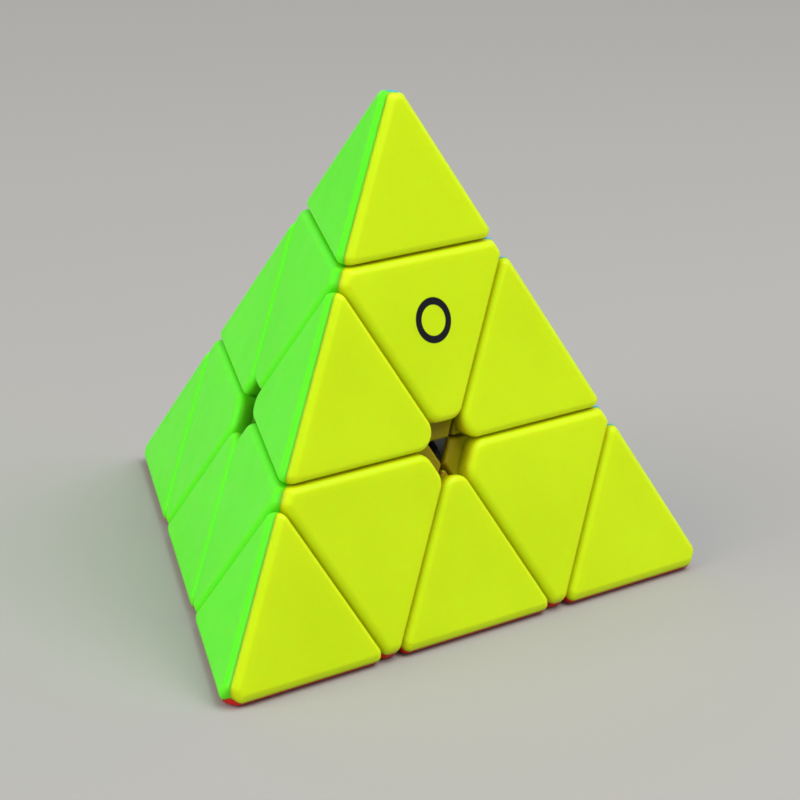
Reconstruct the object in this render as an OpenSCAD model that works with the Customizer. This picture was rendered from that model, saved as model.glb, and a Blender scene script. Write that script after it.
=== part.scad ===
// Pyramid twisty puzzle. A regular tetrahedron turns about four axes, which run from its core to its corners.
// Each corner has a tip above a centre piece, and each edge has an edge piece between two centre pieces.
// A piece is a set of coloured shells round a grey inner part. Sizes are in millimetres.
// The origin is the middle of the core, +Z points at the top corner, and the red face is level below.

/* [Puzzle] */
// Length of the pyramid's edge, before corners and edges are rounded off
edge_length = 98; // [96:1:104]
// Clearance between two pieces that turn past each other
gap = 0.2; // [0.15:0.05:0.4]

/* [Coloured shells] */
// Thickness of a coloured shell
wall = 2; // [1.6:0.1:2.2]
// Seam between two coloured shells of one piece
seam = 0.04; // [0.02:0.01:0.1]
// Radius that the pyramid's own edges are rounded to
edge_round = 2; // [1:0.1:2.5]
// Radius that a centre piece's edges along the grooves are rounded to
blunt_round = 1.3; // [0.6:0.1:1.6]
// Radius that a tip's and an edge piece's sharper edges along the grooves are rounded to
sharp_round = 1.1; // [0.6:0.1:1.6]
// How far each corner of the pyramid is cut back
apex_cut = 4.7; // [3:0.1:6]
// How far a centre piece is cut back where it meets the pyramid's edges
centre_corner_cut = 1.9; // [1.4:0.1:2.5]
// How far the other corners of tips and edge pieces are cut back
small_corner_cut = 2.2; // [1.8:0.1:3]
// Half the width of the six-sided hole in the middle of a face
hole_half_width = 4; // [3:0.1:5]
// How deep that hole is, down to the lips of the pieces round it
hole_depth = 2.8; // [2.4:0.1:3]

/* [Turning parts] */
// Radius of the inner ball, inside which the feet of the edge pieces run
ball_r = 16; // [15.6:0.1:16.2]
// Inner radius of the feet
foot_inner_r = 13.5; // [13.2:0.1:14]
// Distance from the core to the cut between the feet of one layer and the rest
foot_cut = 2.5; // [2.3:0.1:2.8]
// Radius of the ball at the middle of the core
core_ball_r = 6.5; // [6:0.1:6.8]
// Radius of the arms of the core
arm_r = 3.2; // [3:0.1:3.4]
// Outer radius of the hub's tube
hub_r = 6; // [5.8:0.1:6.2]
// Radius of the pin that a tip turns on
tip_pin_r = 3.85; // [3.6:0.05:3.9]
// Radial clearance of a running fit
running = 0.05; // [0.02:0.01:0.08]
// Radius of the screw's shank
screw_r = 1.25; // [1:0.05:1.4]
// Radius of the spring's wire
wire_r = 0.35; // [0.25:0.05:0.4]
// Number of turns in a spring
spring_turns = 5; // [4:1:6]

/* [Hidden] */
$fn = 48;
// Clearance between a shell and the grey part that it is fixed to
fixed = 0.05;
// Longer than anything that is cut
reach = edge_length;

// Distances from the core to the corners, the middles of the edges, the faces and the two cuts of a layer
circumradius = edge_length * sqrt(3 / 8);
midradius = circumradius / sqrt(3);
inradius = circumradius / 3;
tip_cut = circumradius - 4 / 3 * inradius;
layer_cut = circumradius - 8 / 3 * inradius;

// Angles at the core between a corner and the nearest face's middle, edge's middle and other corner
face_tilt = acos(1 / 3);
corner_tilt = 180 - face_tilt;
edge_tilt = corner_tilt / 2;

// A tip and an edge piece are tetrahedra, a third of the pyramid's size, and a centre piece is an octahedron
small_circumradius = circumradius / 3;
small_midradius = midradius / 3;
tip_middle = circumradius - small_circumradius;
edge_middle = midradius - small_midradius;
octahedron_midradius = edge_length / 6;
octahedron_middle = inradius;

// Heights along an axis, from the core outwards
screw_bottom = 3;
collar_top = 7.4;
hub_bottom = 7.6;
shoulder_top = 12;
arm_top = 12;
hub_floor = 12.2;
spring_seat = 14;
spring_top = 20.9;
washer_top = 21.5;
screw_top = 23.5;
socket_bottom = 24.6;
tip_pin_bottom = 25.2;
snap_bottom = 26.4;
tip_post_top = 43;

// Radii round an axis
collar_r = 4.6;
shoulder_r = 9.2;
spring_r = 2.5;
washer_r = 3.1;
screw_head_r = 2.9;
chamber_r = 3.4;
post_r = 3;
clear_hole_r = screw_r + 0.4;

// The ring on a tip's pin that snaps into a groove in the hub
snap_width = 0.8;
snap_depth = 0.35;

// The cross in a screw's head
cross_length = 3.6;
cross_width = 0.8;
cross_depth = 1.2;

// Flanges that fill a set of shells from wall to wall, and the stalk between an edge piece's foot and shells
flange = 1.5;
flange_bottom = 21;
stalk_x = 4.4;
stalk_y = 7.2;
stalk_bottom = 14;
stalk_top = 25.5;

// A spring is swept as a ring of points that climbs round the axis
ring_points = 6;
rings_per_turn = 12;

GREY = [0.72, 0.74, 0.75];
STEEL = [0.60, 0.61, 0.63];
SHADES = [
    ["yellow", [0.80, 0.92, 0.06]],
    ["green", [0.30, 0.86, 0.18]],
    ["blue", [0.12, 0.62, 0.90]],
    ["red", [0.86, 0.14, 0.12]]
];

// A corner's name, its tilt and turn from +Z, and the colours of its faces, 120 degrees apart
CORNERS = [
    ["top", 0, 30, ["blue", "green", "yellow"]],
    ["left", corner_tilt, 210, ["red", "yellow", "green"]],
    ["right", corner_tilt, 330, ["red", "blue", "yellow"]],
    ["back", corner_tilt, 90, ["red", "green", "blue"]]
];

// An edge's name, its tilt, turn and spin from +Z, and the colours of its two faces
EDGES = [
    ["top_left", edge_tilt, 210, 0, ["yellow", "green"]],
    ["top_right", edge_tilt, 330, 0, ["blue", "yellow"]],
    ["top_back", edge_tilt, 90, 0, ["green", "blue"]],
    ["left_right", 180 - edge_tilt, 270, 90, ["yellow", "red"]],
    ["right_back", 180 - edge_tilt, 30, 90, ["blue", "red"]],
    ["left_back", 180 - edge_tilt, 150, 90, ["green", "red"]]
];

function shade(colour) = [for (s = SHADES) if (s[0] == colour) s[1]][0];
function hub_name(c) = str(c[0], "_hub");
function stem_name(c) = str(c[0], "_tip_stem");
function foot_name(e) = str(e[0], "_edge_foot");
function centre_name(c, k) = str(c[0], "_centre_", c[3][k]);
function tip_name(c, k) = str(c[0], "_tip_", c[3][k]);
function edge_name(e, k) = str(e[0], "_edge_", e[4][k]);

// How deep a plane cuts into an edge to touch a rounding of this radius, from half the angle between its faces
function bevel(radius, half_angle) = radius * (1 / sin(half_angle) - 1);
pyramid_bevel = bevel(edge_round, face_tilt / 2);
sharp_bevel = bevel(sharp_round, face_tilt / 2);
blunt_bevel = bevel(blunt_round, corner_tilt / 2);

// Puts a shape made along +Z on a corner's axis
module at_corner(c) {
    rotate([0, c[1], c[2]])
        children();
}

// Puts a shape made along +Z, with the pyramid's edge along X, on the middle of an edge
module at_edge(e) {
    rotate([0, e[1], e[2]])
        rotate([0, 0, e[3]])
            children();
}

// Everything below a plane at this distance from the core, whose normal is tilted from +Z and then turned
module below(distance, tilt = 0, turn = 0) {
    rotate([0, tilt, turn])
        translate([-reach, -reach, distance - 2 * reach])
            cube(2 * reach);
}

// A flat layer between two heights
module slab(bottom, height) {
    translate([-reach, -reach, bottom])
        cube([2 * reach, 2 * reach, height]);
}

// A cylinder between two heights
module rod(r, bottom, top) {
    translate([0, 0, bottom])
        cylinder(r = r, h = top - bottom);
}

// A third of everything round the Z axis, centred on +X
module third() {
    start = seam / sqrt(3);
    translate([0, 0, -reach])
        linear_extrude(2 * reach)
            polygon([[start, 0], [start + reach, reach * sqrt(3)], [start + reach, -reach * sqrt(3)]]);
}

// A whole centre piece with sharp edges, its walls moved in by inset. In the middle of a face it is cut back as
// far as the hole is wide and deep, and has a lip below that.
module centre_block(inset) {
    difference() {
        intersection() {
            below(tip_cut - gap / 2 - inset);
            below(-layer_cut - gap / 2 - inset, 180);
            intersection_for (turn = [0, 120, 240]) {
                intersection() {
                    below(inradius - inset, face_tilt, turn);
                    below(layer_cut - gap / 2 - inset, corner_tilt, turn + 60);
                    union() {
                        below(-hole_half_width - inset, face_tilt + 90, turn);
                        below(inradius - hole_depth - inset, face_tilt, turn);
                    }
                }
            }
        }
        sphere(ball_r + gap / 2 + inset);
    }
}

// A coloured shell of a centre piece: a third of the block, with its rims bevelled, hollow inside
module centre_shell(colour) {
    top_rim = octahedron_middle * cos(face_tilt / 2) + octahedron_midradius - blunt_bevel;
    side_rim = octahedron_midradius - blunt_bevel;
    color(shade(colour))
        difference() {
            intersection() {
                third();
                centre_block(0);
                below(midradius - centre_corner_cut, edge_tilt, 60);
                below(midradius - centre_corner_cut, edge_tilt, -60);
                below(top_rim, face_tilt / 2);
                below(side_rim, 90, 30);
                below(side_rim, 90, -30);
            }
            centre_block(wall);
            cylinder(r = hub_r + fixed, h = reach);
        }
}

// The grey hub of a centre piece: a tube that turns on the core's arm, with a shoulder under the edge pieces'
// feet, two flanges inside the shells, a chamber for the spring and a socket for the tip
module hub() {
    top = tip_cut - gap / 2;
    color(GREY)
        difference() {
            union() {
                rod(hub_r, hub_bottom, top);
                intersection() {
                    sphere(foot_inner_r - gap);
                    rod(shoulder_r, hub_bottom, shoulder_top);
                }
                intersection() {
                    centre_block(wall + fixed);
                    union() {
                        slab(flange_bottom, flange);
                        slab(top - wall - fixed - flange, flange);
                    }
                }
            }
            rod(arm_r + running, hub_bottom - 1, hub_floor);
            rod(clear_hole_r, hub_floor - 1, spring_seat + 1);
            rod(chamber_r, spring_seat, socket_bottom + 1);
            rod(tip_pin_r + running, socket_bottom, top + 1);
            rod(tip_pin_r + snap_depth + running, snap_bottom - running, snap_bottom + snap_width + running);
        }
}

// A whole tip with sharp edges, its walls moved in by inset
module tip_block(inset) {
    intersection() {
        below(-tip_cut - gap / 2 - inset, 180);
        below(circumradius - apex_cut - inset);
        intersection_for (turn = [0, 120, 240])
            below(inradius - inset, face_tilt, turn);
    }
}

// A coloured shell of a tip: a third of the block, with its rims bevelled, hollow inside
module tip_shell(colour) {
    corner = tip_middle * cos(corner_tilt) + small_circumradius - small_corner_cut;
    bottom_rim = tip_middle * cos(90 + face_tilt / 2) + small_midradius - sharp_bevel;
    color(shade(colour))
        difference() {
            intersection() {
                third();
                tip_block(0);
                below(midradius - pyramid_bevel, edge_tilt, 60);
                below(midradius - pyramid_bevel, edge_tilt, -60);
                below(corner, corner_tilt, 60);
                below(corner, corner_tilt, -60);
                below(bottom_rim, 90 + face_tilt / 2);
            }
            tip_block(wall);
            rod(tip_pin_r + fixed, tip_cut, tip_cut + 2 * wall);
        }
}

// The grey stem of a tip: a pin that turns in the hub's socket, a flange inside the shells and a post
module tip_stem() {
    shell_floor = tip_cut + gap / 2 + wall + fixed;
    color(GREY)
        union() {
            rod(tip_pin_r, tip_pin_bottom, shell_floor + flange);
            rod(tip_pin_r + snap_depth, snap_bottom, snap_bottom + snap_width);
            rod(post_r, shell_floor, tip_post_top);
            intersection() {
                tip_block(wall + fixed);
                slab(shell_floor - 1, flange + 1);
            }
        }
}

// A whole edge piece with sharp edges, its walls moved in by inset, cut back and lipped in the same way
module edge_block(inset) {
    difference() {
        intersection() {
            below(midradius - pyramid_bevel - inset);
            intersection_for (turn = [0, 180]) {
                intersection() {
                    below(-layer_cut - gap / 2 - inset, 180 - edge_tilt, turn);
                    below(inradius - inset, edge_tilt, turn + 90);
                    union() {
                        below(-hole_half_width - inset, edge_tilt + 90, turn + 90);
                        below(inradius - hole_depth - inset, edge_tilt, turn + 90);
                    }
                }
            }
        }
        sphere(ball_r - gap / 2 + fixed + inset);
    }
}

// The slot that an edge piece's stalk goes through, or the stalk itself, this much wider each way
module stalk(wider) {
    translate([-stalk_x / 2 - wider, -stalk_y / 2 - wider, stalk_bottom])
        cube([stalk_x + 2 * wider, stalk_y + 2 * wider, stalk_top - stalk_bottom]);
}

// A coloured shell of an edge piece: the half on the +Y side, with its rims bevelled, hollow inside
module edge_shell(colour) {
    corner = edge_middle * cos(edge_tilt) + small_circumradius - small_corner_cut;
    color(shade(colour))
        difference() {
            intersection() {
                translate([-reach, seam / 2, 0])
                    cube([2 * reach, reach, reach]);
                edge_block(0);
                below(corner, edge_tilt, 0);
                below(corner, edge_tilt, 180);
                below(small_midradius - sharp_bevel, 90, 45);
                below(small_midradius - sharp_bevel, 90, 135);
            }
            edge_block(wall);
            stalk(fixed);
        }
}

// The grey foot of an edge piece: it runs between the hubs' shoulders and the undersides of the centre pieces,
// and a stalk with a flange on it holds the shells
module edge_foot() {
    color(GREY)
        union() {
            difference() {
                intersection() {
                    sphere(ball_r - gap / 2);
                    intersection_for (turn = [0, 180]) {
                        intersection() {
                            below(-foot_cut - gap / 2, 180 - edge_tilt, turn);
                            below(foot_cut - gap / 2, 180 - edge_tilt, turn + 90);
                        }
                    }
                }
                sphere(foot_inner_r);
            }
            stalk(0);
            intersection() {
                edge_block(wall + fixed);
                slab(flange_bottom, flange);
            }
        }
}

// The core: a ball with an arm to each corner, each with a collar for its hub and a bore for its screw
module core() {
    color(GREY)
        difference() {
            union() {
                sphere(core_ball_r);
                for (c = CORNERS)
                    at_corner(c) {
                        rod(collar_r, 0, collar_top);
                        rod(arm_r, 0, arm_top);
                    }
            }
            for (c = CORNERS)
                at_corner(c)
                    rod(screw_r + fixed, screw_bottom - fixed, arm_top + 1);
        }
}

// The four screws that hold the hubs on the core, with crosses in their heads
module axis_screws() {
    color(STEEL)
        for (c = CORNERS)
            at_corner(c)
                difference() {
                    union() {
                        rod(screw_r, screw_bottom, washer_top + 1);
                        rod(screw_head_r, washer_top, screw_top);
                    }
                    for (turn = [0, 90])
                        rotate([0, 0, turn])
                            translate([-cross_length / 2, -cross_width / 2, screw_top - cross_depth])
                                cube([cross_length, cross_width, cross_depth + 1]);
                }
}

// The four washers between the springs and the screws' heads
module spring_washers() {
    color(STEEL)
        for (c = CORNERS)
            at_corner(c)
                difference() {
                    rod(washer_r, spring_top, washer_top);
                    rod(screw_r + fixed, spring_top - 1, washer_top + 1);
                }
}

// The point of a spring's wire at step i, and point j of the ring round it
function wire_turn(i) = 360 * i / rings_per_turn;
function wire_height(i, steps) = let (low = spring_seat + wire_r + fixed, high = spring_top - wire_r)
    low + (high - low) * i / steps;
function wire_point(i, j, steps) =
    let (round = 360 * j / ring_points, out = spring_r + wire_r * cos(round))
    [out * cos(wire_turn(i)), out * sin(wire_turn(i)), wire_height(i, steps) + wire_r * sin(round)];

// The four compression springs, which press the hubs towards the core
module axis_springs() {
    steps = spring_turns * rings_per_turn;
    last = steps * ring_points;
    points = [for (i = [0:steps]) for (j = [0:ring_points - 1]) wire_point(i, j, steps)];
    sides = [
        for (i = [0:steps - 1]) for (j = [0:ring_points - 1])
            let (next = (j + 1) % ring_points, a = i * ring_points, b = a + ring_points)
            [a + j, b + j, b + next, a + next]
    ];
    start_cap = [for (j = [0:ring_points - 1]) j];
    end_cap = [for (j = [ring_points - 1:-1:0]) last + j];
    color(STEEL)
        for (c = CORNERS)
            at_corner(c)
                polyhedron(points, concat([start_cap, end_cap], sides));
}

core();
axis_screws();
axis_springs();
spring_washers();
for (c = CORNERS) {
    at_corner(c) hub();
    at_corner(c) tip_stem();
    for (k = [0:2]) {
        turn = [0, 0, 120 * k];
        at_corner(c) rotate(turn) centre_shell(c[3][k]);
        at_corner(c) rotate(turn) tip_shell(c[3][k]);
    }
}
for (e = EDGES) {
    at_edge(e) edge_foot();
    for (k = [0:1]) {
        at_edge(e) rotate([0, 0, 180 * k]) edge_shell(e[4][k]);
    }
}
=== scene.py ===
# %% [markdown]
# # A pyramid twisty puzzle
#
# The puzzle is a regular tetrahedron that turns about four axes, one from its core to each corner. It has four
# tips, four centre pieces and six edge pieces. Each piece is a set of coloured plastic shells round a grey part.
#
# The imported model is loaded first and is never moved. It says where each part is and which body it rides on, so
# every piece that is made here only has to match it in place and size.

# %% Load the frame
import math

import bmesh
import bpy
from mathutils import Matrix, Vector


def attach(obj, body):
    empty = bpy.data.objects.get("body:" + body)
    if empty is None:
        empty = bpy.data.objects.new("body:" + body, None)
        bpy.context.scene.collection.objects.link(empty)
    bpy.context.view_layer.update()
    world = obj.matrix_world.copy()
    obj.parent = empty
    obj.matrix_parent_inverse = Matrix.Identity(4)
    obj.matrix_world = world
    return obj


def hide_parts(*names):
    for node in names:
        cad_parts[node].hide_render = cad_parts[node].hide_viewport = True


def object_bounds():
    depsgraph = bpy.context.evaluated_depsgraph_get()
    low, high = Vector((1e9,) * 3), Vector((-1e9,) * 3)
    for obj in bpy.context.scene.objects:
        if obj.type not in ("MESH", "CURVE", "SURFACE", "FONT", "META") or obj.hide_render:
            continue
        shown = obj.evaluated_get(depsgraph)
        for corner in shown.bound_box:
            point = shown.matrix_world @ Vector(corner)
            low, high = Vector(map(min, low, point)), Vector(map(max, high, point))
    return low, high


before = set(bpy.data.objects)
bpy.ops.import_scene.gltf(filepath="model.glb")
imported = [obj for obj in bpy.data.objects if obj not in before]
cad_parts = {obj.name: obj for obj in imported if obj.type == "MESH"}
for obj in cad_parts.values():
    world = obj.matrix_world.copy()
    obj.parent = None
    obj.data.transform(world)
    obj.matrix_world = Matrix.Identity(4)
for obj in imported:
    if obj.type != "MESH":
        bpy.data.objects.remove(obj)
cad_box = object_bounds()

# %% [markdown]
# ## The camera
#
# The camera comes first, because it says which surfaces matter most. It stands low on the left and looks down a
# little. A long lens keeps the pyramid's edges almost parallel. Its place is given by the angle round the puzzle,
# the height angle and the distance, which are easier to think about than three coordinates.

# %% Aim the camera at the puzzle
AZIMUTH = math.radians(-41.81)
ELEVATION = math.radians(21.56)
DISTANCE = 0.48
LENS_MM = 144.22
NEAREST = 0.01
# The core's place in the frame, as a share of the frame's width, right of and above the middle
CORE_RIGHT = -0.0420
CORE_UP = -0.0615
ROLL = math.radians(3.92)

back = Vector((
    math.sin(AZIMUTH) * math.cos(ELEVATION),
    -math.cos(AZIMUTH) * math.cos(ELEVATION),
    math.sin(ELEVATION),
))
camera = bpy.data.objects.new("camera", bpy.data.cameras.new("camera"))
camera.data.lens = LENS_MM
camera.data.clip_start = NEAREST
camera.location = back * DISTANCE
aim = (-back).to_track_quat("-Z", "Y").to_matrix() @ Matrix.Rotation(ROLL, 3, "Z")
# Turning the camera a little, rather than shifting its lens, moves the core off the middle of the frame
share = camera.data.sensor_width / LENS_MM
sideways = Matrix.Rotation(math.atan(CORE_RIGHT * share), 3, "Y")
upwards = Matrix.Rotation(-math.atan(CORE_UP * share), 3, "X")
camera.rotation_euler = (aim @ sideways @ upwards).to_euler()
bpy.context.scene.collection.objects.link(camera)
bpy.context.scene.camera = camera
bpy.context.scene.view_settings.view_transform = "Standard"
print("camera at", [round(v, 4) for v in camera.location])

# %% [markdown]
# ## The puzzle's proportions
#
# A regular tetrahedron has only one size, the length of its edge. All other distances follow from it: from the
# core to a corner, to the middle of an edge and to a face. The two cuts of a layer divide the way from a corner to
# the face opposite into three. The numbers are in millimetres, and the meshes are scaled to metres at the end.

# %% Distances from the core, and the angles between the directions
MM = 0.001
EDGE_LENGTH = 98
GAP = 0.2
WALL = 2
SEAM = 0.02
FIT = 0.05
BALL_R = 16
APEX_CUT = 4.7
CENTRE_CORNER_CUT = 1.9
HOLE_HALF_WIDTH = 4
HOLE_DEPTH = 2.8
HUB_R = 6
TIP_PIN_R = 3.85
STALK = (4.4, 7.2)
STALK_TOP = 25.5
SPRING_SEAT = 14
SPRING_TOP = 20.9

CIRCUMRADIUS = EDGE_LENGTH * math.sqrt(3 / 8)
MIDRADIUS = CIRCUMRADIUS / math.sqrt(3)
INRADIUS = CIRCUMRADIUS / 3
TIP_CUT = CIRCUMRADIUS - 4 / 3 * INRADIUS
LAYER_CUT = CIRCUMRADIUS - 8 / 3 * INRADIUS
FACE_TILT = math.degrees(math.acos(1 / 3))
CORNER_TILT = 180 - FACE_TILT
EDGE_TILT = CORNER_TILT / 2
print("corner, edge and face are", round(CIRCUMRADIUS, 2), round(MIDRADIUS, 2), round(INRADIUS, 2), "mm away")

# %% The corners and edges, their places and their colours
CORNERS = {
    "top": (0, 30, ("blue", "green", "yellow")),
    "left": (CORNER_TILT, 210, ("red", "yellow", "green")),
    "right": (CORNER_TILT, 330, ("red", "blue", "yellow")),
    "back": (CORNER_TILT, 90, ("red", "green", "blue")),
}
EDGES = {
    "top_left": (EDGE_TILT, 210, 0, ("yellow", "green")),
    "top_right": (EDGE_TILT, 330, 0, ("blue", "yellow")),
    "top_back": (EDGE_TILT, 90, 0, ("green", "blue")),
    "left_right": (180 - EDGE_TILT, 270, 90, ("yellow", "red")),
    "right_back": (180 - EDGE_TILT, 30, 90, ("blue", "red")),
    "left_back": (180 - EDGE_TILT, 150, 90, ("green", "red")),
}


def turned(tilt, turn, spin=0):
    """The rotation that spins a shape made along +Z, tilts it and turns it to its place."""
    return (
        Matrix.Rotation(math.radians(turn), 4, "Z")
        @ Matrix.Rotation(math.radians(tilt), 4, "Y")
        @ Matrix.Rotation(math.radians(spin), 4, "Z")
    )


def direction(tilt, turn=0):
    """A unit vector tilted from +Z and then turned round Z."""
    return turned(tilt, turn).to_3x3() @ Vector((0, 0, 1))


print(len(CORNERS), "corners and", len(EDGES), "edges")

# %% [markdown]
# ## Moulded plastic
#
# The shells are moulded in coloured plastic, with no stickers. The surface is satin: it has soft highlights, and
# from close up a fine grain that the mould leaves. The plastic lets some light in, which makes bright colours
# glow at the edges. One function makes all the plastics, so that they differ only in colour, gloss and glow. Every
# pattern lies on Object coordinates, so it stays with the piece when the piece turns.
#
# The first functions only add nodes that several materials share.

# %% Nodes that the materials share
# Noise seldom leaves this range
NOISE_RANGE = (0.3, 0.7)


def noise(nodes, links, coordinates, scale, detail):
    """A noise texture at this many waves to the metre."""
    texture = nodes.new("ShaderNodeTexNoise")
    texture.inputs["Scale"].default_value = scale
    texture.inputs["Detail"].default_value = detail
    links.new(coordinates, texture.inputs["Vector"])
    return texture.outputs["Fac"]


def spread(nodes, links, value, low, high):
    """Noise stretched to the range from low to high."""
    mapping = nodes.new("ShaderNodeMapRange")
    mapping.inputs["From Min"].default_value, mapping.inputs["From Max"].default_value = NOISE_RANGE
    mapping.inputs["To Min"].default_value = low
    mapping.inputs["To Max"].default_value = high
    links.new(value, mapping.inputs["Value"])
    return mapping.outputs["Result"]


def fading(nodes, links, value, span):
    """1 where a length is below the span, 0 where it is above, and smooth between."""
    share = nodes.new("ShaderNodeMapRange")
    share.interpolation_type = "SMOOTHSTEP"
    share.inputs["From Min"].default_value = span[0] * MM
    share.inputs["From Max"].default_value = span[1] * MM
    share.inputs["To Min"].default_value, share.inputs["To Max"].default_value = 1, 0
    links.new(value, share.inputs["Value"])
    return share.outputs["Result"]


def multiplied(nodes, links, paint, colour, factor):
    """The paint multiplied by a colour, as far as the factor says."""
    mix = nodes.new("ShaderNodeMix")
    mix.data_type = "RGBA"
    mix.blend_type = "MULTIPLY"
    mix.inputs["B"].default_value = colour
    links.new(factor, mix.inputs["Factor"])
    links.new(paint, mix.inputs["A"])
    return mix.outputs["Result"]


def bumped(nodes, links, pattern, strength, depth):
    """A bump node that raises a pattern by at most this depth in metres."""
    bump = nodes.new("ShaderNodeBump")
    bump.inputs["Strength"].default_value = strength
    bump.inputs["Distance"].default_value = depth
    links.new(pattern, bump.inputs["Height"])
    return bump


print("a noise seldom leaves", NOISE_RANGE)

# %% [markdown]
# ## Painted shade and print
#
# Shade is painted into the colour where it falls: the paint is darkened and warmed a little down in the grooves,
# and darker still in the hole in the middle of each face. How deep a point lies is its distance from the core
# along the direction that the face looks in, and how far it is from the hole is its distance from that line.
#
# One yellow centre piece has a plain ring printed on it. The ring is where the distance from a point on the
# surface has the right value.

# %% Painted shade in the grooves and the holes
# Each pair is in millimetres: all of the tint below the first, none above the second
# Painted shade: the paint is darkened deep in each face's hole, and darkened and warmed down in the grooves
HOLE_SHADE_HEIGHTS = (16.6, 19.8)
HOLE_SHADE_RADII = (3.5, 7)
GROOVE_SHADE_HEIGHTS = (18.9, 19.75)
PAINTED_HOLE_SHADE = (0.36, 0.28, 0.45, 1)
PAINTED_GROOVE_SHADE = (1, 0.8, 0.6, 1)


def with_painted_shade(nodes, links, coordinates, outward, paint):
    """The paint with painted shade: a little down in the grooves, and more deep in the hole of its face."""
    height = nodes.new("ShaderNodeVectorMath")
    height.operation = "DOT_PRODUCT"
    height.inputs[1].default_value = outward
    aside = nodes.new("ShaderNodeVectorMath")
    aside.operation = "CROSS_PRODUCT"
    aside.inputs[1].default_value = outward
    radius = nodes.new("ShaderNodeVectorMath")
    radius.operation = "LENGTH"
    links.new(coordinates, height.inputs[0])
    links.new(coordinates, aside.inputs[0])
    links.new(aside.outputs["Vector"], radius.inputs[0])
    both = nodes.new("ShaderNodeMath")
    both.operation = "MULTIPLY"
    links.new(fading(nodes, links, height.outputs["Value"], HOLE_SHADE_HEIGHTS), both.inputs[0])
    links.new(fading(nodes, links, radius.outputs["Value"], HOLE_SHADE_RADII), both.inputs[1])
    # Painted shade down in the grooves, and a deeper painted shade in the hole
    groove_shade_mask = fading(nodes, links, height.outputs["Value"], GROOVE_SHADE_HEIGHTS)
    paint = multiplied(nodes, links, paint, PAINTED_GROOVE_SHADE, groove_shade_mask)
    return multiplied(nodes, links, paint, PAINTED_HOLE_SHADE, both.outputs["Value"])


print("tint in the grooves from", GROOVE_SHADE_HEIGHTS[1], "mm down, of", round(INRADIUS, 2), "mm")


# %% A printed ring
RING_RADIUS = 2.8
RING_WIDTH = 1.1
RING_SOFTNESS = 0.05
INK = (0.006, 0.007, 0.012, 1)


def ring_of_ink(nodes, links, coordinates, middle):
    """Where a plain ring is printed round a point on the surface: 1 on the ring, 0 beside it."""
    distance = nodes.new("ShaderNodeVectorMath")
    distance.operation = "DISTANCE"
    distance.inputs[1].default_value = middle
    links.new(coordinates, distance.inputs[0])
    from_line = nodes.new("ShaderNodeMath")
    from_line.operation = "SUBTRACT"
    from_line.inputs[1].default_value = RING_RADIUS * MM
    links.new(distance.outputs["Value"], from_line.inputs[0])
    size = nodes.new("ShaderNodeMath")
    size.operation = "ABSOLUTE"
    links.new(from_line.outputs["Value"], size.inputs[0])
    ink = nodes.new("ShaderNodeMapRange")
    ink.inputs["From Min"].default_value = (RING_WIDTH / 2 - RING_SOFTNESS) * MM
    ink.inputs["From Max"].default_value = (RING_WIDTH / 2 + RING_SOFTNESS) * MM
    ink.inputs["To Min"].default_value, ink.inputs["To Max"].default_value = 1, 0
    links.new(size.outputs["Value"], ink.inputs["Value"])
    return ink.outputs["Result"]


print("the ring is", 2 * RING_RADIUS + RING_WIDTH, "mm across")


# %% Make a plastic
# Waves to the metre, and detail
CLOUDS = (60, 3)
HANDLING = (220, 5)
GRAIN = (5200, 2)
WAVES = (420, 1)
# Strength, and depth in metres
GRAIN_BUMP = (0.12, 0.00004)
WAVES_BUMP = (0.10, 0.00012)
DARKER, LIGHTER, LIFT = 0.965, 1.03, 0.002
SMOOTHER, ROUGHER = 0.04, 0.06
PLASTIC_IOR = 1.5
SHINE = 0.15
# How far red, green and blue light travel inside, in units of GLOW_DEPTH metres
GLOW_REACH = (2.4, 1.0, 0.3)
GLOW_DEPTH = 0.001


def plastic(name, colour, roughness, glow, outward=None, ring_at=None):
    """Satin moulded plastic: cloudy colour, uneven gloss and a fine grain."""
    material = bpy.data.materials.new(name)
    material.use_nodes = True
    nodes, links = material.node_tree.nodes, material.node_tree.links
    shader = nodes["Principled BSDF"]
    coordinates = nodes.new("ShaderNodeTexCoord").outputs["Object"]

    clouds = noise(nodes, links, coordinates, *CLOUDS)
    tone = nodes.new("ShaderNodeMix")
    tone.data_type = "RGBA"
    tone.inputs["A"].default_value = [c * DARKER for c in colour] + [1]
    tone.inputs["B"].default_value = [min(1, c * LIGHTER + LIFT) for c in colour] + [1]
    links.new(spread(nodes, links, clouds, 0, 1), tone.inputs["Factor"])
    paint = tone.outputs["Result"]
    # Shade painted into the colour, in the grooves and in the hole of the face
    if outward:
        paint = with_painted_shade(nodes, links, coordinates, outward, paint)
    if ring_at:
        printed = nodes.new("ShaderNodeMix")
        printed.data_type = "RGBA"
        printed.inputs["B"].default_value = INK
        links.new(ring_of_ink(nodes, links, coordinates, ring_at), printed.inputs["Factor"])
        links.new(paint, printed.inputs["A"])
        paint = printed.outputs["Result"]
    links.new(paint, shader.inputs["Base Color"])

    handling = noise(nodes, links, coordinates, *HANDLING)
    gloss = spread(nodes, links, handling, roughness - SMOOTHER, roughness + ROUGHER)
    links.new(gloss, shader.inputs["Roughness"])

    grain = bumped(nodes, links, noise(nodes, links, coordinates, *GRAIN), *GRAIN_BUMP)
    waves = bumped(nodes, links, noise(nodes, links, coordinates, *WAVES), *WAVES_BUMP)
    links.new(grain.outputs["Normal"], waves.inputs["Normal"])
    links.new(waves.outputs["Normal"], shader.inputs["Normal"])

    shader.inputs["IOR"].default_value = PLASTIC_IOR
    shader.inputs["Specular IOR Level"].default_value = SHINE
    shader.inputs["Subsurface Weight"].default_value = glow
    shader.inputs["Subsurface Radius"].default_value = GLOW_REACH
    shader.inputs["Subsurface Scale"].default_value = GLOW_DEPTH
    return material


print("waves to the metre:", CLOUDS[0], HANDLING[0], WAVES[0], GRAIN[0])
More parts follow.
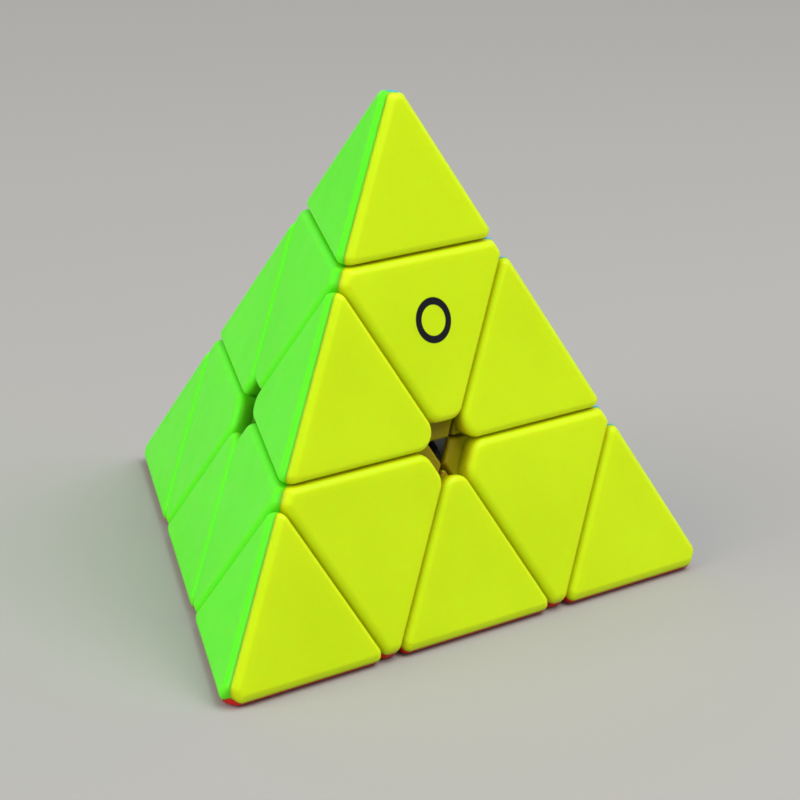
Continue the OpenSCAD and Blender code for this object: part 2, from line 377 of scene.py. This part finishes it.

# %% [markdown]
# ## The colours
#
# The four faces have a colour each, and the parts inside are grey. A shell's plastic also has to know which way
# its face looks, for the painted shade. The ring is printed up the yellow face from its middle, under the top tip.

# %% Mix the plastics
SATIN = 0.36
SHELL_GLOW = 1
GREY = (0.50, 0.51, 0.50)
GREY_ROUGHNESS = 0.42
GREY_GLOW = 0.05
RING_HEIGHT = 18.8
SHELL_COLOURS = {
    "yellow": (0.66, 0.86, 0.004),
    "green": (0.12, 0.90, 0.015),
    "blue": (0.02, 0.52, 0.86),
    "red": (0.74, 0.022, 0.016),
}
FACE_DIRECTIONS = {
    "yellow": direction(FACE_TILT, 270),
    "green": direction(FACE_TILT, 150),
    "blue": direction(FACE_TILT, 30),
    "red": direction(180),
}
SHELL_PLASTIC = {
    name: plastic(f"{name}_plastic", colour, SATIN, SHELL_GLOW, FACE_DIRECTIONS[name])
    for name, colour in SHELL_COLOURS.items()
}
outward = FACE_DIRECTIONS["yellow"]
up_the_face = (Vector((0, 0, 1)) - outward * outward.z).normalized()
PRINTED_PLASTIC = plastic(
    "yellow_plastic_with_ring",
    SHELL_COLOURS["yellow"],
    SATIN,
    SHELL_GLOW,
    outward,
    (outward * INRADIUS + up_the_face * RING_HEIGHT) * MM,
)
GREY_PLASTIC = plastic("grey_plastic", GREY, GREY_ROUGHNESS, GREY_GLOW)
print("plastics:", len([*SHELL_PLASTIC, PRINTED_PLASTIC, GREY_PLASTIC]))

# %% [markdown]
# ## Steel
#
# The screws, washers and springs are steel. Drawn wire and turned parts have fine lines from the tool, so the
# roughness is noise that is stretched. The steel is hidden inside the hubs, and is made for whoever takes the
# puzzle apart.

# %% Make the steel
STRETCH = (1, 1, 12)
TOOL_LINES = (900, 3)
SCRATCH_BUMP = (0.15, 0.00002)
BRIGHTER_LINE, DULLER_LINE = 0.06, 0.1


def steel(name, colour, roughness):
    """Bare metal with fine drawn lines."""
    material = bpy.data.materials.new(name)
    material.use_nodes = True
    nodes, links = material.node_tree.nodes, material.node_tree.links
    shader = nodes["Principled BSDF"]
    shader.inputs["Base Color"].default_value = (*colour, 1)
    shader.inputs["Metallic"].default_value = 1
    stretch = nodes.new("ShaderNodeMapping")
    stretch.inputs["Scale"].default_value = STRETCH
    links.new(nodes.new("ShaderNodeTexCoord").outputs["Object"], stretch.inputs["Vector"])
    lines = noise(nodes, links, stretch.outputs["Vector"], *TOOL_LINES)
    gloss = spread(nodes, links, lines, roughness - BRIGHTER_LINE, roughness + DULLER_LINE)
    links.new(gloss, shader.inputs["Roughness"])
    scratches = bumped(nodes, links, lines, *SCRATCH_BUMP)
    links.new(scratches.outputs["Normal"], shader.inputs["Normal"])
    return material


STEEL = steel("steel", (0.62, 0.62, 0.64), 0.3)
SPRING_STEEL = steel("spring_steel", (0.50, 0.50, 0.52), 0.38)
print("metals:", STEEL.name, "and", SPRING_STEEL.name)

# %% [markdown]
# ## A rounded block
#
# Every piece starts as a solid with flat faces whose edges and corners are rounded, as a moulded part's are. A
# bevel modifier does that well on a box. Here five or six faces meet at some corners and several radii would
# fight, so another way is used. The faces are moved in by the radius, a ball is set on each corner of the smaller
# solid, and a skin is stretched round all the balls. The skin is flat where the faces are, a part of a cylinder
# along each edge and a part of a ball at each corner, and nothing has to be tidied.

# %% Find the corners of a solid from its faces
def corners_of(planes):
    """The corners of the solid below these planes, each with the planes that meet there."""
    found = []
    for i, (n1, d1) in enumerate(planes):
        for j, (n2, d2) in enumerate(planes[:i]):
            for n3, d3 in planes[:j]:
                across = n1.dot(n2.cross(n3))
                if abs(across) < 1e-6:
                    continue
                point = (n2.cross(n3) * d1 + n3.cross(n1) * d2 + n1.cross(n2) * d3) / across
                if any(n.dot(point) > d + 1e-4 for n, d in planes):
                    continue
                if all((point - other).length > 1e-3 for other, _ in found):
                    found.append((point, [n for n, d in planes if abs(n.dot(point) - d) < 1e-3]))
    return found


# %% Soften the line where two faces meet with more planes
def arc(a, b, share):
    """The direction this share of the way along the arc from a to b."""
    angle = a.angle(b)
    if angle < 1e-6:
        return a.copy()
    return (a * math.sin((1 - share) * angle) + b * math.sin(share * angle)) / math.sin(angle)


def softened(plane, other, radius, count=3):
    """Planes that touch a rounding of this radius between two planes, to take the place of a sharp edge."""
    (n1, d1), (n2, d2) = plane, other
    overlap = n1.dot(n2)
    e1, e2 = d1 - radius, d2 - radius
    axis = (n1 * (e1 - overlap * e2) + n2 * (e2 - overlap * e1)) / (1 - overlap * overlap)
    between = [arc(n1, n2, (i + 1) / (count + 1)) for i in range(count)]
    return [(n, n.dot(axis) + radius) for n in between]


# %% Stretch a skin round the corners' balls
def ball_points(normals, steps):
    """Directions that cover the part of a ball between the normals of the faces that meet at a corner."""
    middle = sum(normals, Vector()).normalized()
    side = middle.orthogonal().normalized()
    other = middle.cross(side)
    ring = sorted(normals, key=lambda n: math.atan2(n.dot(other), n.dot(side)))
    points = []
    for b, c in zip(ring[1:], ring[2:]):
        for i in range(steps + 1):
            start, end = arc(ring[0], b, i / steps), arc(ring[0], c, i / steps)
            points += [arc(start, end, j / i) if i else start for j in range(i + 1)]
    return points


def rounded_block(planes, radius, steps):
    """A mesh of the solid below these planes, its edges and corners rounded to the radius."""
    shape = bmesh.new()
    for point, normals in corners_of([(n, d - radius) for n, d in planes]):
        for outward in ball_points(normals, steps) if radius else [Vector()]:
            shape.verts.new(point + outward * radius)
    bmesh.ops.remove_doubles(shape, verts=shape.verts, dist=1e-4)
    hull = bmesh.ops.convex_hull(shape, input=shape.verts)
    unused = hull["geom_interior"] + hull["geom_unused"]
    spare = {v for v in unused if isinstance(v, bmesh.types.BMVert)}
    bmesh.ops.delete(shape, geom=list(spare), context="VERTS")
    flat = math.radians(0.2)
    bmesh.ops.dissolve_limit(shape, angle_limit=flat, verts=shape.verts, edges=shape.edges)
    bmesh.ops.recalc_face_normals(shape, faces=shape.faces)
    return to_object(shape)


def to_object(shape):
    """A new object from a bmesh."""
    mesh = bpy.data.meshes.new("shape")
    shape.to_mesh(mesh)
    shape.free()
    made = bpy.data.objects.new("shape", mesh)
    bpy.context.scene.collection.objects.link(made)
    return made


# %% [markdown]
# ## Cutting with other solids
#
# The inner side of a piece is cut out with a ball, a pocket and a bore. Booleans suit that, because the result
# has the sharp rims that two crossing cuts leave. The tool solids are made, used once and removed.

# %% Cut one solid with another
def remove(made):
    """Deletes a helper object and its mesh."""
    mesh = made.data
    bpy.data.objects.remove(made)
    bpy.data.meshes.remove(mesh)


def flattened(made):
    """Turns an object's modifiers into plain mesh."""
    bpy.context.view_layer.update()
    graph = bpy.context.evaluated_depsgraph_get()
    mesh = bpy.data.meshes.new_from_object(made.evaluated_get(graph))
    old = made.data
    made.modifiers.clear()
    made.data = mesh
    bpy.data.meshes.remove(old)
    return made


def cut(made, tool, operation="DIFFERENCE"):
    """Cuts an object with a tool solid, and removes the tool."""
    boolean = made.modifiers.new("cut", "BOOLEAN")
    boolean.operation = operation
    boolean.object = tool
    boolean.solver = "EXACT"
    flattened(made)
    remove(tool)
    return made


def ball(radius):
    """A smooth ball round the core."""
    shape = bmesh.new()
    bmesh.ops.create_icosphere(shape, subdivisions=5, radius=radius)
    return to_object(shape)


def rod(radius, bottom, top):
    """A cylinder along Z."""
    shape = bmesh.new()
    middle = Matrix.Translation((0, 0, (bottom + top) / 2))
    bmesh.ops.create_cone(
        shape, cap_ends=True, segments=72, radius1=radius, radius2=radius, depth=top - bottom, matrix=middle
    )
    return to_object(shape)


def block(low, high):
    """A box between two corners."""
    shape = bmesh.new()
    bmesh.ops.create_cube(shape, size=1)
    for v in shape.verts:
        v.co = Vector(l + (h - l) * (c + 0.5) for l, h, c in zip(low, high, v.co))
    return to_object(shape)


# %% [markdown]
# ## Coloured shells
#
# A centre piece, a tip and an edge piece are each one rounded block, divided along the pyramid's edges into one
# shell for each colour. In the real puzzle the colours meet in a hairline there, so the block is rounded first
# and divided afterwards: the rounding then runs on across the seam. Each shell is made once, and copies of its
# mesh are turned into their places.

# %% Divide a block into shells
FAR = 100
BLUNT_ROUNDING = 1.3
SHARP_ROUNDING = 1.1
LIP_ROUNDING = 0.5
STEPS = 6


def wedge():
    """A third of everything round the Z axis, centred on +X, less half a seam on each side."""
    start = SEAM / math.sqrt(3)
    outline = [(start, 0), (start + FAR, -FAR * math.sqrt(3)), (start + FAR, FAR * math.sqrt(3))]
    shape = bmesh.new()
    face = shape.faces.new([shape.verts.new((x, y, -FAR)) for x, y in outline])
    raised = bmesh.ops.extrude_face_region(shape, geom=[face])["geom"]
    lifted = [v for v in raised if isinstance(v, bmesh.types.BMVert)]
    bmesh.ops.translate(shape, vec=(0, 0, 2 * FAR), verts=lifted)
    bmesh.ops.recalc_face_normals(shape, faces=shape.faces)
    return to_object(shape)


def half():
    """The half of everything on the +Y side, less half a seam."""
    return block((-FAR, SEAM / 2, -FAR), (FAR, FAR, FAR))


def shell(outside, inside, rounding, ball_radius, divider, bores, lip=()):
    """One coloured shell: a share of the rounded block, hollow inside, with the ball and the bores cut away."""
    made = rounded_block(outside, rounding, STEPS)
    if lip:
        cut(made, rounded_block(lip, LIP_ROUNDING, STEPS), "UNION")
    pocket = rounded_block([(n, d - WALL) for n, d in inside], 0, 1)
    if ball_radius:
        cut(made, ball(ball_radius))
        cut(pocket, ball(ball_radius + WALL))
    cut(made, divider, "INTERSECT")
    cut(made, pocket)
    for bore in bores:
        cut(made, bore)
    return smoothed(made)


def smoothed(made):
    """Merges what the cuts left, marks the sharp rims and lets the large flat faces set the shading."""
    shape = bmesh.new()
    shape.from_mesh(made.data)
    bmesh.ops.remove_doubles(shape, verts=shape.verts, dist=0.002)
    bmesh.ops.dissolve_degenerate(shape, edges=shape.edges, dist=0.001)
    shape.to_mesh(made.data)
    shape.free()
    made.data.shade_smooth()
    made.data.set_sharp_from_angle(angle=math.radians(32))
    weighting = made.modifiers.new("flat faces first", "WEIGHTED_NORMAL")
    weighting.mode = "FACE_AREA"
    weighting.weight = 90
    weighting.keep_sharp = True
    return flattened(made)


# %% The planes round each block
THIRDS = (0, 120, 240)
EDGE_RADIUS = 1.9
HOLE_RADIUS = 2.6
HIDDEN = 0.05


def faces_and_rims(tilt, first):
    """The pyramid's faces round a piece, and the planes that round the pyramid's edges between them."""
    faces = [(direction(tilt, turn), INRADIUS) for turn in first]
    rims = [
        plane
        for face, following in zip(faces, faces[1:] + faces[:1])
        for plane in softened(face, following, EDGE_RADIUS)
    ]
    return faces, rims


faces, tip_rims = faces_and_rims(FACE_TILT, THIRDS)
tip_planes = [(direction(180), -TIP_CUT - GAP / 2), (direction(0), CIRCUMRADIUS - APEX_CUT), *faces]

centre_planes = [(direction(0), TIP_CUT - GAP / 2), (direction(180), -LAYER_CUT - GAP / 2), *faces]
lip_planes = [(direction(0), TIP_CUT - GAP), (direction(180), -LAYER_CUT - GAP / 2)]
layers = {turn: (direction(CORNER_TILT, turn), LAYER_CUT - GAP / 2) for turn in (60, 180, 300)}
centre_rims = [(direction(EDGE_TILT, turn + 60), MIDRADIUS - CENTRE_CORNER_CUT) for turn in THIRDS]
for turn in THIRDS:
    hole = (direction(FACE_TILT + 90, turn), -HOLE_HALF_WIDTH)
    centre_planes += [hole, layers[turn + 60]]
    for side in (turn + 60, (turn + 300) % 360):
        centre_rims += softened(hole, layers[side], HOLE_RADIUS)
    lip_planes += [
        (direction(FACE_TILT, turn), INRADIUS - HOLE_DEPTH),
        (direction(CORNER_TILT, turn + 60), LAYER_CUT - GAP / 2 - HIDDEN),
    ]

faces, _ = faces_and_rims(EDGE_TILT, (90, 270))
sides = [(direction(180 - EDGE_TILT, turn), -LAYER_CUT - GAP / 2) for turn in (0, 180)]
holes = [(direction(EDGE_TILT + 90, turn), -HOLE_HALF_WIDTH) for turn in (90, 270)]
edge_planes = faces + sides + holes
edge_lip_planes = [(n, INRADIUS - HOLE_DEPTH) for n, _ in faces] + [(n, d - HIDDEN) for n, d in sides]
edge_rims = softened(faces[0], faces[1], EDGE_RADIUS)
for hole in holes:
    for side in sides:
        edge_rims += softened(hole, side, HOLE_RADIUS)

# %% Make the three kinds of shell
centre_shell = shell(
    centre_planes + centre_rims,
    centre_planes,
    BLUNT_ROUNDING,
    BALL_R + GAP / 2,
    wedge(),
    [rod(HUB_R + FIT, 0, CIRCUMRADIUS)],
    lip_planes,
)
tip_shell = shell(
    tip_planes + tip_rims,
    tip_planes,
    SHARP_ROUNDING,
    0,
    wedge(),
    [rod(TIP_PIN_R + FIT, TIP_CUT, TIP_CUT + 2 * WALL)],
)
slot_x, slot_y = (size / 2 + FIT for size in STALK)
edge_shell = shell(
    edge_planes + edge_rims,
    edge_planes,
    SHARP_ROUNDING,
    BALL_R - GAP / 2 + FIT,
    half(),
    [block((-slot_x, -slot_y, 0), (slot_x, slot_y, STALK_TOP))],
    edge_lip_planes,
)
for name, made in (("centre", centre_shell), ("tip", tip_shell), ("edge", edge_shell)):
    print(name, "shell:", len(made.data.polygons), "faces")


# %% Put a copy of a shell in each place
PRINTED_NODE = "top_centre_yellow"


def place_shell(pattern, node, body, colour, placement):
    """A finished shell: a turned copy of the pattern, in metres, that stands for its CAD node."""
    mesh = pattern.data.copy()
    mesh.transform(Matrix.Scale(MM, 4) @ placement)
    mesh.materials.clear()
    mesh.materials.append(PRINTED_PLASTIC if node == PRINTED_NODE else SHELL_PLASTIC[colour])
    made = bpy.data.objects.new(f"{node}_shell", mesh)
    bpy.context.scene.collection.objects.link(made)
    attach(made, body)
    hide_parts(node)


for corner, (tilt, turn, colours) in CORNERS.items():
    for third, colour in enumerate(colours):
        placement = turned(tilt, turn, 120 * third)
        place_shell(centre_shell, f"{corner}_centre_{colour}", f"{corner}_centre", colour, placement)
        place_shell(tip_shell, f"{corner}_tip_{colour}", f"{corner}_tip", colour, placement)
for edge, (tilt, turn, spin, colours) in EDGES.items():
    for side, colour in enumerate(colours):
        placement = turned(tilt, turn, spin + 180 * side)
        place_shell(edge_shell, f"{edge}_edge_{colour}", f"{edge}_edge", colour, placement)
for pattern in (centre_shell, tip_shell, edge_shell):
    remove(pattern)
shells = 3 * 2 * len(CORNERS) + 2 * len(EDGES)
print("shells in place:", shells)

# %% [markdown]
# ## The springs
#
# Under each screw's head a compression spring presses the hub towards the core. A spring is a wire swept along a
# helix, and there are four, one on each axis, so Geometry Nodes suit them: a spiral and a round profile make the
# coil, and an instance goes to each of four points, turned to look away from the core. The sizes are inputs, so
# the same tree makes any spring.

# %% Set up a tree with named inputs
def new_tree(name, sizes):
    """A Geometry Nodes tree with these number inputs, and where its input, output and links are."""
    tree = bpy.data.node_groups.new(name, "GeometryNodeTree")
    tree.interface.new_socket("Geometry", in_out="INPUT", socket_type="NodeSocketGeometry")
    for label in sizes:
        tree.interface.new_socket(label, in_out="INPUT", socket_type="NodeSocketFloat")
    tree.interface.new_socket("Geometry", in_out="OUTPUT", socket_type="NodeSocketGeometry")
    return tree, tree.nodes.new("NodeGroupInput"), tree.nodes.new("NodeGroupOutput")


def on_axes(tree, start, shape, material):
    """Ends a tree: the shape on each of the four points, looking outwards, as real mesh with a material."""
    nodes, links = tree.nodes, tree.links
    outward = nodes.new("FunctionNodeAlignRotationToVector")
    outward.axis = "Z"
    links.new(nodes.new("GeometryNodeInputPosition").outputs[0], outward.inputs["Vector"])
    spots = nodes.new("GeometryNodeInstanceOnPoints")
    links.new(start.outputs["Geometry"], spots.inputs["Points"])
    links.new(shape, spots.inputs["Instance"])
    links.new(outward.outputs["Rotation"], spots.inputs["Rotation"])
    real = nodes.new("GeometryNodeRealizeInstances")
    links.new(spots.outputs["Instances"], real.inputs["Geometry"])
    finish = nodes.new("GeometryNodeSetMaterial")
    finish.inputs["Material"].default_value = material
    links.new(real.outputs["Geometry"], finish.inputs["Geometry"])
    return finish.outputs["Geometry"]


def grown(name, height, tree, sizes):
    """Runs a tree on four points at this height on the axes, and returns the finished mesh object."""
    shape = bmesh.new()
    for tilt, turn, _ in CORNERS.values():
        shape.verts.new(direction(tilt, turn) * height * MM)
    made = to_object(shape)
    made.name = made.data.name = name
    growth = made.modifiers.new("growth", "NODES")
    growth.node_group = tree
    for item in tree.interface.items_tree:
        if item.name in sizes:
            growth[item.identifier] = float(sizes[item.name])
    return flattened(made)


# %% Wind the springs
WIRE_R = 0.35
SPRING_R = 2.5
SPRING_LOW = SPRING_SEAT + WIRE_R + FIT
SPRING_HIGH = SPRING_TOP - WIRE_R
SPRING_TURNS = 5

spring_sizes = {
    "Coil radius": SPRING_R * MM,
    "Wire radius": WIRE_R * MM,
    "Height": (SPRING_HIGH - SPRING_LOW) * MM,
    "Turns": SPRING_TURNS,
}
spring_tree, start, end = new_tree("compression_spring", spring_sizes)
helix = spring_tree.nodes.new("GeometryNodeCurveSpiral")
helix.inputs["Resolution"].default_value = 28
profile = spring_tree.nodes.new("GeometryNodeCurvePrimitiveCircle")
profile.inputs["Resolution"].default_value = 12
sweep = spring_tree.nodes.new("GeometryNodeCurveToMesh")
sweep.inputs["Fill Caps"].default_value = True
smooth = spring_tree.nodes.new("GeometryNodeSetShadeSmooth")
join = spring_tree.links.new
join(start.outputs["Coil radius"], helix.inputs["Start Radius"])
join(start.outputs["Coil radius"], helix.inputs["End Radius"])
join(start.outputs["Height"], helix.inputs["Height"])
join(start.outputs["Turns"], helix.inputs["Rotations"])
join(start.outputs["Wire radius"], profile.inputs["Radius"])
join(helix.outputs["Curve"], sweep.inputs["Curve"])
join(profile.outputs["Curve"], sweep.inputs["Profile Curve"])
join(sweep.outputs["Mesh"], smooth.inputs["Geometry"])
join(on_axes(spring_tree, start, smooth.outputs["Geometry"], SPRING_STEEL), end.inputs["Geometry"])

springs = grown("coil_springs", SPRING_LOW, spring_tree, spring_sizes)
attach(springs, "core")
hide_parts("axis_springs")
print("springs:", len(springs.data.polygons), "faces")

# %% [markdown]
# ## The screws
#
# A screw holds each hub on its arm of the core. Its head is a low cylinder with a cross in it and a softened rim,
# and its thread is a ridge that climbs round the shank. The blank is turned like a real screw, by spinning half
# of its outline round the axis. The thread and the four copies are Geometry Nodes again.

# %% Turn the screw's blank and cut its cross
SCREW_LOW = 3
SCREW_HIGH = 23.5
HEAD_LOW = 21.5
HEAD_R = 2.9
SHANK_R = 1.25
THREAD_DEPTH = 0.2
THREAD_TOP = 12
CROSS = (1.8, 0.4, 1.2)

core_of_thread = SHANK_R - THREAD_DEPTH
outline = [
    (0, 0), (0.5, 0.1), (core_of_thread, 1), (core_of_thread, THREAD_TOP - SCREW_LOW),
    (SHANK_R, THREAD_TOP - SCREW_LOW + 0.3), (SHANK_R, HEAD_LOW - SCREW_LOW),
    (HEAD_R - 0.15, HEAD_LOW - SCREW_LOW),
    (HEAD_R, HEAD_LOW - SCREW_LOW + 0.15), (HEAD_R, SCREW_HIGH - SCREW_LOW - 0.6),
    (HEAD_R - 0.2, SCREW_HIGH - SCREW_LOW - 0.2), (HEAD_R - 0.6, SCREW_HIGH - SCREW_LOW),
    (0, SCREW_HIGH - SCREW_LOW),
]
shape = bmesh.new()
spun = [shape.verts.new((r * MM, 0, z * MM)) for r, z in outline]
rails = [shape.edges.new(pair) for pair in zip(spun, spun[1:])]
bmesh.ops.spin(shape, geom=spun + rails, axis=(0, 0, 1), cent=(0, 0, 0), steps=40, angle=2 * math.pi)
bmesh.ops.remove_doubles(shape, verts=shape.verts, dist=1e-6)
bmesh.ops.recalc_face_normals(shape, faces=shape.faces)
blank = to_object(shape)
length, width, depth = (size * MM for size in CROSS)
top = (SCREW_HIGH - SCREW_LOW) * MM
cut(blank, block((-length, -width, top - depth), (length, width, top + depth)))
cut(blank, block((-width, -length, top - depth), (width, length, top + depth)))
blank.data.shade_smooth()
blank.data.set_sharp_from_angle(angle=math.radians(35))
print("screw blank:", len(blank.data.polygons), "faces")

# %% Wind the thread and set the screws
screw_sizes = {
    "Thread radius": core_of_thread * MM,
    "Thread depth": THREAD_DEPTH * MM,
    "Thread length": (THREAD_TOP - SCREW_LOW - 1) * MM,
    "Turns": 12,
}
screw_tree, start, end = new_tree("screw_with_thread", screw_sizes)
join = screw_tree.links.new
ridge_line = screw_tree.nodes.new("GeometryNodeCurveSpiral")
ridge_line.inputs["Resolution"].default_value = 20
ridge = screw_tree.nodes.new("GeometryNodeCurvePrimitiveCircle")
ridge.inputs["Resolution"].default_value = 3
ridge_sweep = screw_tree.nodes.new("GeometryNodeCurveToMesh")
ridge_sweep.inputs["Fill Caps"].default_value = True
lifted = screw_tree.nodes.new("GeometryNodeTransform")
lifted.inputs["Translation"].default_value = (0, 0, MM)
turned_blank = screw_tree.nodes.new("GeometryNodeObjectInfo")
turned_blank.inputs["Object"].default_value = blank
whole = screw_tree.nodes.new("GeometryNodeJoinGeometry")
join(start.outputs["Thread radius"], ridge_line.inputs["Start Radius"])
join(start.outputs["Thread radius"], ridge_line.inputs["End Radius"])
join(start.outputs["Thread length"], ridge_line.inputs["Height"])
join(start.outputs["Turns"], ridge_line.inputs["Rotations"])
join(start.outputs["Thread depth"], ridge.inputs["Radius"])
join(ridge_line.outputs["Curve"], ridge_sweep.inputs["Curve"])
join(ridge.outputs["Curve"], ridge_sweep.inputs["Profile Curve"])
join(ridge_sweep.outputs["Mesh"], lifted.inputs["Geometry"])
join(lifted.outputs["Geometry"], whole.inputs["Geometry"])
join(turned_blank.outputs["Geometry"], whole.inputs["Geometry"])
join(on_axes(screw_tree, start, whole.outputs["Geometry"], STEEL), end.inputs["Geometry"])

screws = grown("cross_head_screws", SCREW_LOW, screw_tree, screw_sizes)
remove(blank)
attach(screws, "core")
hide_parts("axis_screws")
print("screws:", len(screws.data.polygons), "faces")

# %% [markdown]
# ## The grey parts
#
# The core, the hubs, the tips' stems and the edge pieces' feet keep their CAD meshes, because their shapes are
# right as they are. They are moulded in grey, and show in the hole in the middle of each face and between the
# pieces when a layer is part of the way round.

# %% Give the CAD parts their finish
for name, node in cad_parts.items():
    if node.hide_render:
        continue
    finish = STEEL if name == "spring_washers" else GREY_PLASTIC
    node.data.materials.clear()
    node.data.materials.append(finish)
print("grey parts:", sum(not node.hide_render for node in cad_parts.values()))

# %% [markdown]
# ## The floor and the light
#
# The puzzle stands on a plain pale floor. The light is soft. A large lamp hangs close by, high on the right. A
# second one stands lower on the left, nearer the camera, and lights the green face. A pale sky fills the grooves.
# Large lamps give the wide, gentle highlights along the rounded edges that tell the eye that the plastic is satin.

# %% Lay the floor
FLOOR_SIZE = 6
FLOOR_COLOUR = (0.40, 0.385, 0.36, 1)
FLOOR_ROUGHNESS = 0.85
floor_height = cad_box[0].z
shape = bmesh.new()
bmesh.ops.create_grid(shape, x_segments=1, y_segments=1, size=FLOOR_SIZE / 2)
for v in shape.verts:
    v.co.z = floor_height
floor = to_object(shape)
floor.name = "floor"
floor_finish = bpy.data.materials.new("pale_floor")
floor_finish.use_nodes = True
floor_shader = floor_finish.node_tree.nodes["Principled BSDF"]
floor_shader.inputs["Base Color"].default_value = FLOOR_COLOUR
floor_shader.inputs["Roughness"].default_value = FLOOR_ROUGHNESS
floor.data.materials.append(floor_finish)
print("the floor is at", round(floor_height / MM, 2), "mm")


# %% Hang the lamps
# Place and size in metres, and power in watts
LAMPS = {
    "main_lamp": ((0.22, -0.26, 0.74), 0.6, 5.1),
    "left_lamp": ((-1.0, 0.15, 0.5), 0.8, 7),
}
SKY_COLOUR = (0.93, 0.96, 1, 1)
SKY_STRENGTH = 0.5


def soft_lamp(name, place, size, power):
    """A square area lamp that looks at the core."""
    light = bpy.data.lights.new(name, "AREA")
    light.shape = "SQUARE"
    light.size = size
    light.energy = power
    lamp = bpy.data.objects.new(name, light)
    lamp.location = place
    lamp.rotation_euler = (-Vector(place)).to_track_quat("-Z", "Y").to_euler()
    bpy.context.scene.collection.objects.link(lamp)


for name, (place, size, power) in LAMPS.items():
    soft_lamp(name, place, size, power)
world = bpy.data.worlds.new("pale_sky")
world.use_nodes = True
world.node_tree.nodes["Background"].inputs["Color"].default_value = SKY_COLOUR
world.node_tree.nodes["Background"].inputs["Strength"].default_value = SKY_STRENGTH
bpy.context.scene.world = world
print("lamps:", ", ".join(LAMPS))

# %% [markdown]
# ## Measure and finish
#
# The CAD model's box is printed, in millimetres. The new pieces have to stay inside the CAD model's box.

# %% Print the CAD model's box
print("CAD box:", [[round(c * 1000, 2) for c in corner] for corner in cad_box])
